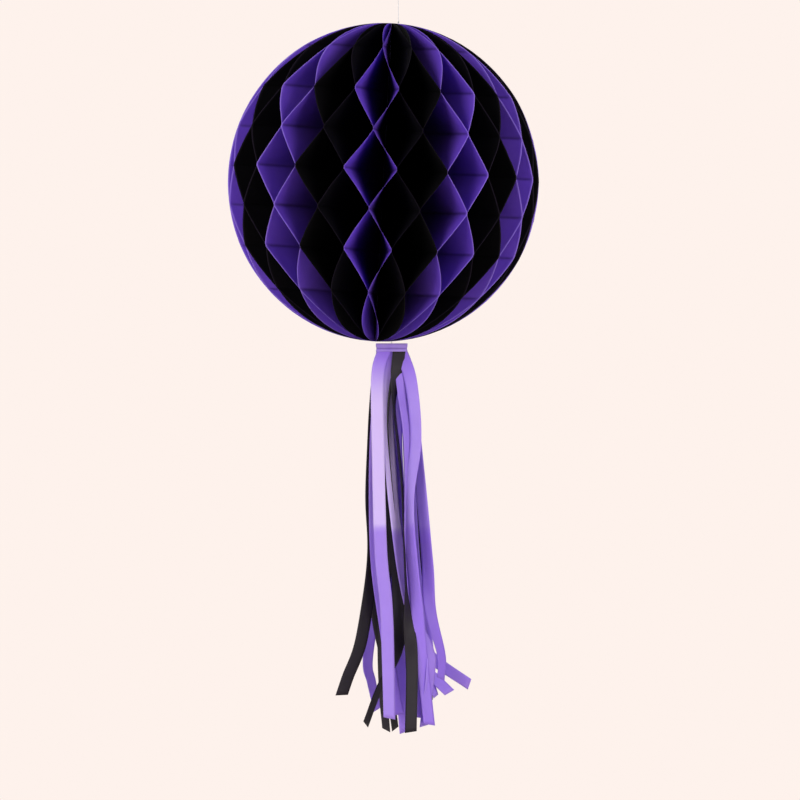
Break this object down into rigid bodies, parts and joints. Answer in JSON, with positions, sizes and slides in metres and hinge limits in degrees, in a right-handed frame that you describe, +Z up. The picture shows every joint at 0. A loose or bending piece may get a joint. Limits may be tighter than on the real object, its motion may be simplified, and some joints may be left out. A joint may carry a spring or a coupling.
{
  "type": "paper honeycomb ball with tassel",
  "caption": "Two-colour tissue honeycomb ball that fans open around its spine between two cards, with a long ribbon tassel, hung by a thread loop.",
  "frame": {"origin": "inside the top of the thread's hanging loop, where a hook bears", "axes": "+Z up along the hanging thread, +Y away from the front view, +X to the right of it"},
  "size_m": [0.2812, 0.2813, 0.7029],
  "materials": {
    "purple_tissue": "translucent coloured tissue paper",
    "black_tissue": "black tissue paper",
    "card": "plain uncoated board",
    "binding": "stitched and glued tissue edge",
    "tape": "double-sided adhesive tape",
    "thread": "clear nylon monofilament"
  },
  "bodies": {
    "hanger": {"hang_loop": "thread"},
    "upper_knot": {"hang_knot": "thread"},
    "thread": {"hanging_thread": "thread"},
    "tie": {"ball_knot": "thread", "ball_loop": "thread"},
    "ball": {"spine_binding": "binding", "cover_fixed": "card", "closing_tapes": "tape"},
    "cover": {"cover_turning": "card"},
    "leaf_01": {"leaf_01": "black_tissue"},
    "leaf_02": {"leaf_02": "purple_tissue"},
    "leaf_03": {"leaf_03": "purple_tissue"},
    "leaf_04": {"leaf_04": "black_tissue"},
    "leaf_05": {"leaf_05": "black_tissue"},
    "leaf_06": {"leaf_06": "purple_tissue"},
    "leaf_07": {"leaf_07": "purple_tissue"},
    "leaf_08": {"leaf_08": "black_tissue"},
    "leaf_09": {"leaf_09": "black_tissue"},
    "leaf_10": {"leaf_10": "purple_tissue"},
    "leaf_11": {"leaf_11": "purple_tissue"},
    "leaf_12": {"leaf_12": "black_tissue"},
    "leaf_13": {"leaf_13": "black_tissue"},
    "leaf_14": {"leaf_14": "purple_tissue"},
    "leaf_15": {"leaf_15": "purple_tissue"},
    "leaf_16": {"leaf_16": "black_tissue"},
    "leaf_17": {"leaf_17": "black_tissue"},
    "leaf_18": {"leaf_18": "purple_tissue"},
    "leaf_19": {"leaf_19": "purple_tissue"},
    "leaf_20": {"leaf_20": "black_tissue"},
    "leaf_21": {"leaf_21": "black_tissue"},
    "leaf_22": {"leaf_22": "purple_tissue"},
    "leaf_23": {"leaf_23": "purple_tissue"},
    "leaf_24": {"leaf_24": "black_tissue"},
    "leaf_25": {"leaf_25": "black_tissue"},
    "leaf_26": {"leaf_26": "purple_tissue"},
    "leaf_27": {"leaf_27": "purple_tissue"},
    "leaf_28": {"leaf_28": "black_tissue"},
    "leaf_29": {"leaf_29": "black_tissue"},
    "leaf_30": {"leaf_30": "purple_tissue"},
    "leaf_31": {"leaf_31": "purple_tissue"},
    "leaf_32": {"leaf_32": "black_tissue"},
    "leaf_33": {"leaf_33": "black_tissue"},
    "leaf_34": {"leaf_34": "purple_tissue"},
    "leaf_35": {"leaf_35": "purple_tissue"},
    "leaf_36": {"leaf_36": "black_tissue"},
    "leaf_37": {"leaf_37": "black_tissue"},
    "leaf_38": {"leaf_38": "purple_tissue"},
    "tassel_cord": {"tassel_loop": "thread", "tassel_knot": "thread"},
    "tassel": {"tassel_band": "purple_tissue", "tassel_ribbon_1": "purple_tissue", "tassel_ribbon_2": "black_tissue", "tassel_ribbon_3": "purple_tissue", "tassel_ribbon_4": "purple_tissue", "tassel_ribbon_5": "purple_tissue", "tassel_ribbon_6": "black_tissue", "tassel_ribbon_7": "purple_tissue", "tassel_ribbon_8": "black_tissue", "tassel_ribbon_9": "purple_tissue"}
  },
  "joints": [
    {"name": "thread_swing", "type": "hinge", "parent": "hanger", "child": "upper_knot", "pos_m": [0, 0, -0.026], "axis": [0, 1, 0], "range_deg": [-25, 25]},
    {"name": "thread_sway", "type": "hinge", "parent": "upper_knot", "child": "thread", "pos_m": [0, 0, -0.026], "axis": [1, 0, 0], "range_deg": [-25, 25]},
    {"name": "ball_spin", "type": "hinge", "parent": "thread", "child": "tie", "pos_m": [0, 0, -0.06], "axis": [0, 0, 1], "continuous": true},
    {"name": "ball_rock", "type": "hinge", "parent": "tie", "child": "ball", "pos_m": [0, 0, -0.067], "axis": [-0.0767, 0.9971, 0], "range_deg": [-12, 12]},
    {"name": "fold", "type": "hinge", "parent": "ball", "child": "cover", "pos_m": [-0.01362, -0.00105, -0.20532], "axis": [0.0515, 0.004, 0.9987], "range_deg": [-344, 0], "deforming": ["leaf_01", "leaf_02", "leaf_03", "leaf_04", "leaf_05", "leaf_06", "leaf_07", "leaf_08", "leaf_09", "leaf_10", "leaf_11", "leaf_12", "leaf_13", "leaf_14", "leaf_15", "leaf_16", "leaf_17", "leaf_18", "leaf_19", "leaf_20", "leaf_21", "leaf_22", "leaf_23", "leaf_24", "leaf_25", "leaf_26", "leaf_27", "leaf_28", "leaf_29", "leaf_30", "leaf_31", "leaf_32", "leaf_33", "leaf_34", "leaf_35", "leaf_36", "leaf_37", "leaf_38"]},
    {"name": "leaf_01_turn", "type": "hinge", "parent": "ball", "child": "leaf_01", "pos_m": [-0.01362, -0.00105, -0.20532], "axis": [0.0515, 0.004, 0.9987], "range_deg": [-5.33, 0.5]},
    {"name": "leaf_02_turn", "type": "hinge", "parent": "ball", "child": "leaf_02", "pos_m": [-0.01362, -0.00105, -0.20532], "axis": [0.0515, 0.004, 0.9987], "range_deg": [-14.98, 0.5]},
    {"name": "leaf_03_turn", "type": "hinge", "parent": "ball", "child": "leaf_03", "pos_m": [-0.01362, -0.00105, -0.20532], "axis": [0.0515, 0.004, 0.9987], "range_deg": [-24.63, 0.5]},
    {"name": "leaf_04_turn", "type": "hinge", "parent": "ball", "child": "leaf_04", "pos_m": [-0.01362, -0.00105, -0.20532], "axis": [0.0515, 0.004, 0.9987], "range_deg": [-34.28, 0.5]},
    {"name": "leaf_05_turn", "type": "hinge", "parent": "ball", "child": "leaf_05", "pos_m": [-0.01362, -0.00105, -0.20532], "axis": [0.0515, 0.004, 0.9987], "range_deg": [-43.93, 0.5]},
    {"name": "leaf_06_turn", "type": "hinge", "parent": "ball", "child": "leaf_06", "pos_m": [-0.01362, -0.00105, -0.20532], "axis": [0.0515, 0.004, 0.9987], "range_deg": [-53.58, 0.5]},
    {"name": "leaf_07_turn", "type": "hinge", "parent": "ball", "child": "leaf_07", "pos_m": [-0.01362, -0.00105, -0.20532], "axis": [0.0515, 0.004, 0.9987], "range_deg": [-63.23, 0.5]},
    {"name": "leaf_08_turn", "type": "hinge", "parent": "ball", "child": "leaf_08", "pos_m": [-0.01362, -0.00105, -0.20532], "axis": [0.0515, 0.004, 0.9987], "range_deg": [-72.88, 0.5]},
    {"name": "leaf_09_turn", "type": "hinge", "parent": "ball", "child": "leaf_09", "pos_m": [-0.01362, -0.00105, -0.20532], "axis": [0.0515, 0.004, 0.9987], "range_deg": [-82.53, 0.5]},
    {"name": "leaf_10_turn", "type": "hinge", "parent": "ball", "child": "leaf_10", "pos_m": [-0.01362, -0.00105, -0.20532], "axis": [0.0515, 0.004, 0.9987], "range_deg": [-92.19, 0.5]},
    {"name": "leaf_11_turn", "type": "hinge", "parent": "ball", "child": "leaf_11", "pos_m": [-0.01362, -0.00105, -0.20532], "axis": [0.0515, 0.004, 0.9987], "range_deg": [-101.84, 0.5]},
    {"name": "leaf_12_turn", "type": "hinge", "parent": "ball", "child": "leaf_12", "pos_m": [-0.01362, -0.00105, -0.20532], "axis": [0.0515, 0.004, 0.9987], "range_deg": [-111.49, 0.5]},
    {"name": "leaf_13_turn", "type": "hinge", "parent": "ball", "child": "leaf_13", "pos_m": [-0.01362, -0.00105, -0.20532], "axis": [0.0515, 0.004, 0.9987], "range_deg": [-121.14, 0.5]},
    {"name": "leaf_14_turn", "type": "hinge", "parent": "ball", "child": "leaf_14", "pos_m": [-0.01362, -0.00105, -0.20532], "axis": [0.0515, 0.004, 0.9987], "range_deg": [-130.79, 0.5]},
    {"name": "leaf_15_turn", "type": "hinge", "parent": "ball", "child": "leaf_15", "pos_m": [-0.01362, -0.00105, -0.20532], "axis": [0.0515, 0.004, 0.9987], "range_deg": [-140.44, 0.5]},
    {"name": "leaf_16_turn", "type": "hinge", "parent": "ball", "child": "leaf_16", "pos_m": [-0.01362, -0.00105, -0.20532], "axis": [0.0515, 0.004, 0.9987], "range_deg": [-150.09, 0.5]},
    {"name": "leaf_17_turn", "type": "hinge", "parent": "ball", "child": "leaf_17", "pos_m": [-0.01362, -0.00105, -0.20532], "axis": [0.0515, 0.004, 0.9987], "range_deg": [-159.74, 0.5]},
    {"name": "leaf_18_turn", "type": "hinge", "parent": "ball", "child": "leaf_18", "pos_m": [-0.01362, -0.00105, -0.20532], "axis": [0.0515, 0.004, 0.9987], "range_deg": [-169.39, 0.5]},
    {"name": "leaf_19_turn", "type": "hinge", "parent": "ball", "child": "leaf_19", "pos_m": [-0.01362, -0.00105, -0.20532], "axis": [0.0515, 0.004, 0.9987], "range_deg": [-179.05, 0.5]},
    {"name": "leaf_20_turn", "type": "hinge", "parent": "ball", "child": "leaf_20", "pos_m": [-0.01362, -0.00105, -0.20532], "axis": [0.0515, 0.004, 0.9987], "range_deg": [-188.58, 0.5]},
    {"name": "leaf_21_turn", "type": "hinge", "parent": "ball", "child": "leaf_21", "pos_m": [-0.01362, -0.00105, -0.20532], "axis": [0.0515, 0.004, 0.9987], "range_deg": [-198, 0.5]},
    {"name": "leaf_22_turn", "type": "hinge", "parent": "ball", "child": "leaf_22", "pos_m": [-0.01362, -0.00105, -0.20532], "axis": [0.0515, 0.004, 0.9987], "range_deg": [-207.42, 0.5]},
    {"name": "leaf_23_turn", "type": "hinge", "parent": "ball", "child": "leaf_23", "pos_m": [-0.01362, -0.00105, -0.20532], "axis": [0.0515, 0.004, 0.9987], "range_deg": [-216.84, 0.5]},
    {"name": "leaf_24_turn", "type": "hinge", "parent": "ball", "child": "leaf_24", "pos_m": [-0.01362, -0.00105, -0.20532], "axis": [0.0515, 0.004, 0.9987], "range_deg": [-226.26, 0.5]},
    {"name": "leaf_25_turn", "type": "hinge", "parent": "ball", "child": "leaf_25", "pos_m": [-0.01362, -0.00105, -0.20532], "axis": [0.0515, 0.004, 0.9987], "range_deg": [-235.68, 0.5]},
    {"name": "leaf_26_turn", "type": "hinge", "parent": "ball", "child": "leaf_26", "pos_m": [-0.01362, -0.00105, -0.20532], "axis": [0.0515, 0.004, 0.9987], "range_deg": [-245.1, 0.5]},
    {"name": "leaf_27_turn", "type": "hinge", "parent": "ball", "child": "leaf_27", "pos_m": [-0.01362, -0.00105, -0.20532], "axis": [0.0515, 0.004, 0.9987], "range_deg": [-254.38, 0.5]},
    {"name": "leaf_28_turn", "type": "hinge", "parent": "ball", "child": "leaf_28", "pos_m": [-0.01362, -0.00105, -0.20532], "axis": [0.0515, 0.004, 0.9987], "range_deg": [-263.53, 0.5]},
    {"name": "leaf_29_turn", "type": "hinge", "parent": "ball", "child": "leaf_29", "pos_m": [-0.01362, -0.00105, -0.20532], "axis": [0.0515, 0.004, 0.9987], "range_deg": [-272.67, 0.5]},
    {"name": "leaf_30_turn", "type": "hinge", "parent": "ball", "child": "leaf_30", "pos_m": [-0.01362, -0.00105, -0.20532], "axis": [0.0515, 0.004, 0.9987], "range_deg": [-281.82, 0.5]},
    {"name": "leaf_31_turn", "type": "hinge", "parent": "ball", "child": "leaf_31", "pos_m": [-0.01362, -0.00105, -0.20532], "axis": [0.0515, 0.004, 0.9987], "range_deg": [-290.31, 0.5]},
    {"name": "leaf_32_turn", "type": "hinge", "parent": "ball", "child": "leaf_32", "pos_m": [-0.01362, -0.00105, -0.20532], "axis": [0.0515, 0.004, 0.9987], "range_deg": [-298.15, 0.5]},
    {"name": "leaf_33_turn", "type": "hinge", "parent": "ball", "child": "leaf_33", "pos_m": [-0.01362, -0.00105, -0.20532], "axis": [0.0515, 0.004, 0.9987], "range_deg": [-306, 0.5]},
    {"name": "leaf_34_turn", "type": "hinge", "parent": "ball", "child": "leaf_34", "pos_m": [-0.01362, -0.00105, -0.20532], "axis": [0.0515, 0.004, 0.9987], "range_deg": [-313.83, 0.5]},
    {"name": "leaf_35_turn", "type": "hinge", "parent": "ball", "child": "leaf_35", "pos_m": [-0.01362, -0.00105, -0.20532], "axis": [0.0515, 0.004, 0.9987], "range_deg": [-321.1, 0.5]},
    {"name": "leaf_36_turn", "type": "hinge", "parent": "ball", "child": "leaf_36", "pos_m": [-0.01362, -0.00105, -0.20532], "axis": [0.0515, 0.004, 0.9987], "range_deg": [-327.78, 0.5]},
    {"name": "leaf_37_turn", "type": "hinge", "parent": "ball", "child": "leaf_37", "pos_m": [-0.01362, -0.00105, -0.20532], "axis": [0.0515, 0.004, 0.9987], "range_deg": [-334.47, 0.5]},
    {"name": "leaf_38_turn", "type": "hinge", "parent": "ball", "child": "leaf_38", "pos_m": [-0.01362, -0.00105, -0.20532], "axis": [0.0515, 0.004, 0.9987], "range_deg": [-341.16, 0.5]},
    {"name": "tassel_swing", "type": "hinge", "parent": "ball", "child": "tassel_cord", "pos_m": [-0.00597, -0.00046, -0.3436], "axis": [-0.0767, 0.9971, 0], "range_deg": [-5, 5]},
    {"name": "tassel_spin", "type": "hinge", "parent": "tassel_cord", "child": "tassel", "pos_m": [-0.00597, -0.00046, -0.3436], "axis": [0, 0, 1], "continuous": true}
  ],
  "couplings": [
    {"joint": "leaf_01_turn", "follows": "fold", "ratio": 0.014028},
    {"joint": "leaf_02_turn", "follows": "fold", "ratio": 0.042083},
    {"joint": "leaf_03_turn", "follows": "fold", "ratio": 0.070139},
    {"joint": "leaf_04_turn", "follows": "fold", "ratio": 0.098194},
    {"joint": "leaf_05_turn", "follows": "fold", "ratio": 0.12625},
    {"joint": "leaf_06_turn", "follows": "fold", "ratio": 0.15431},
    {"joint": "leaf_07_turn", "follows": "fold", "ratio": 0.18236},
    {"joint": "leaf_08_turn", "follows": "fold", "ratio": 0.21042},
    {"joint": "leaf_09_turn", "follows": "fold", "ratio": 0.23847},
    {"joint": "leaf_10_turn", "follows": "fold", "ratio": 0.26653},
    {"joint": "leaf_11_turn", "follows": "fold", "ratio": 0.29458},
    {"joint": "leaf_12_turn", "follows": "fold", "ratio": 0.32264},
    {"joint": "leaf_13_turn", "follows": "fold", "ratio": 0.35069},
    {"joint": "leaf_14_turn", "follows": "fold", "ratio": 0.37875},
    {"joint": "leaf_15_turn", "follows": "fold", "ratio": 0.40681},
    {"joint": "leaf_16_turn", "follows": "fold", "ratio": 0.43486},
    {"joint": "leaf_17_turn", "follows": "fold", "ratio": 0.46292},
    {"joint": "leaf_18_turn", "follows": "fold", "ratio": 0.49097},
    {"joint": "leaf_19_turn", "follows": "fold", "ratio": 0.51903},
    {"joint": "leaf_20_turn", "follows": "fold", "ratio": 0.54675},
    {"joint": "leaf_21_turn", "follows": "fold", "ratio": 0.57413},
    {"joint": "leaf_22_turn", "follows": "fold", "ratio": 0.60151},
    {"joint": "leaf_23_turn", "follows": "fold", "ratio": 0.62889},
    {"joint": "leaf_24_turn", "follows": "fold", "ratio": 0.65628},
    {"joint": "leaf_25_turn", "follows": "fold", "ratio": 0.68366},
    {"joint": "leaf_26_turn", "follows": "fold", "ratio": 0.71104},
    {"joint": "leaf_27_turn", "follows": "fold", "ratio": 0.73803},
    {"joint": "leaf_28_turn", "follows": "fold", "ratio": 0.76461},
    {"joint": "leaf_29_turn", "follows": "fold", "ratio": 0.7912},
    {"joint": "leaf_30_turn", "follows": "fold", "ratio": 0.81779},
    {"joint": "leaf_31_turn", "follows": "fold", "ratio": 0.84248},
    {"joint": "leaf_32_turn", "follows": "fold", "ratio": 0.86528},
    {"joint": "leaf_33_turn", "follows": "fold", "ratio": 0.88807},
    {"joint": "leaf_34_turn", "follows": "fold", "ratio": 0.91086},
    {"joint": "leaf_35_turn", "follows": "fold", "ratio": 0.93197},
    {"joint": "leaf_36_turn", "follows": "fold", "ratio": 0.95141},
    {"joint": "leaf_37_turn", "follows": "fold", "ratio": 0.97084},
    {"joint": "leaf_38_turn", "follows": "fold", "ratio": 0.99028}
  ]
}
